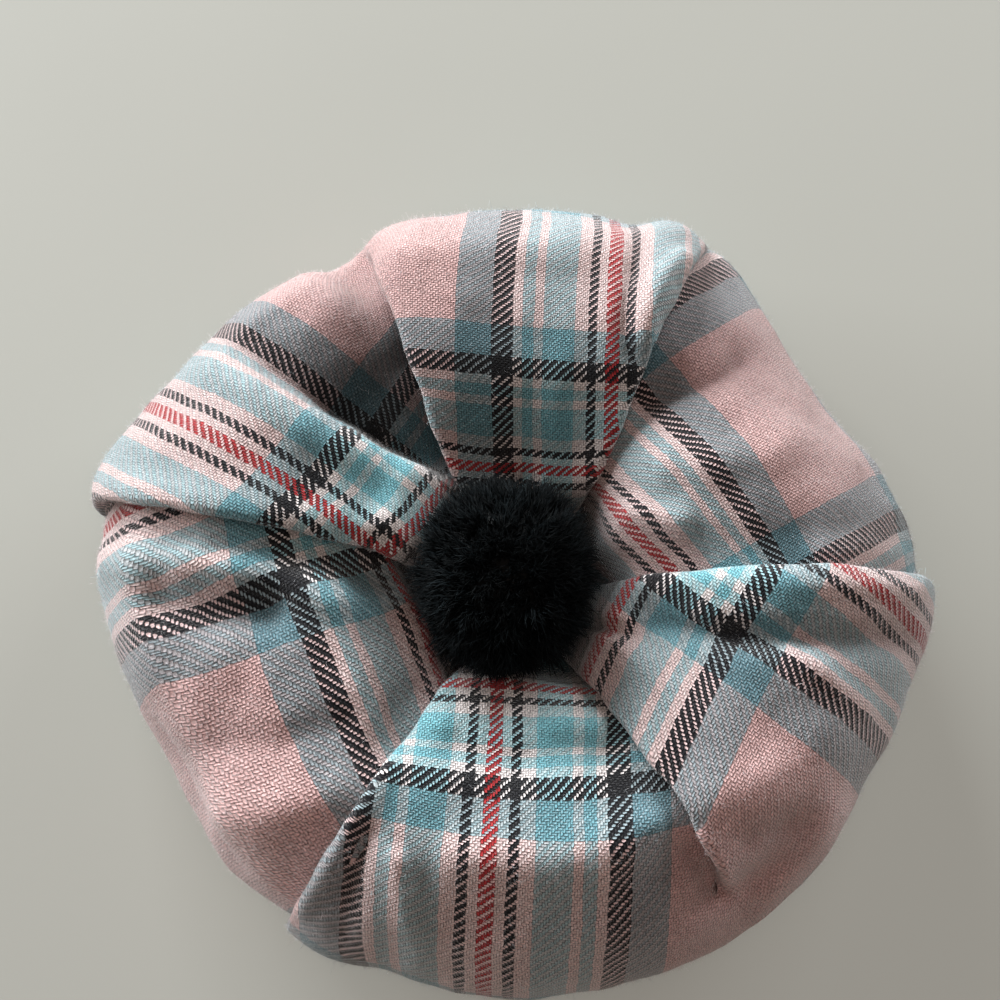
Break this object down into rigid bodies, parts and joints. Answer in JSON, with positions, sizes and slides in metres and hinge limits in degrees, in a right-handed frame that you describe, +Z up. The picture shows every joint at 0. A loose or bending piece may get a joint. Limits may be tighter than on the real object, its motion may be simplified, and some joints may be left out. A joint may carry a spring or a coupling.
{
  "type": "tam o' shanter",
  "caption": "Puffed tartan wool tam with overlapping crown panels tucked round a middle ring, a plain doubled headband and a black wool pompom; worn on the head.",
  "frame": {"origin": "centre of the hat's box, on the surface it stands on", "axes": "+Z up through the pompom, +Y towards the back of the crown, which is the top of the picture, +X to the picture's right"},
  "size_m": [0.2514, 0.2344, 0.078],
  "materials": {
    "tartan": "brushed 2/2 twill wool tartan in pink, pale blue, grey, cream and black with a thin red line",
    "black_wool": "cut wool strands, matt black with a blue cast"
  },
  "bodies": {
    "root": {"crown": "tartan", "headband": "tartan", "pompom": "black_wool"}
  },
  "joints": []
}
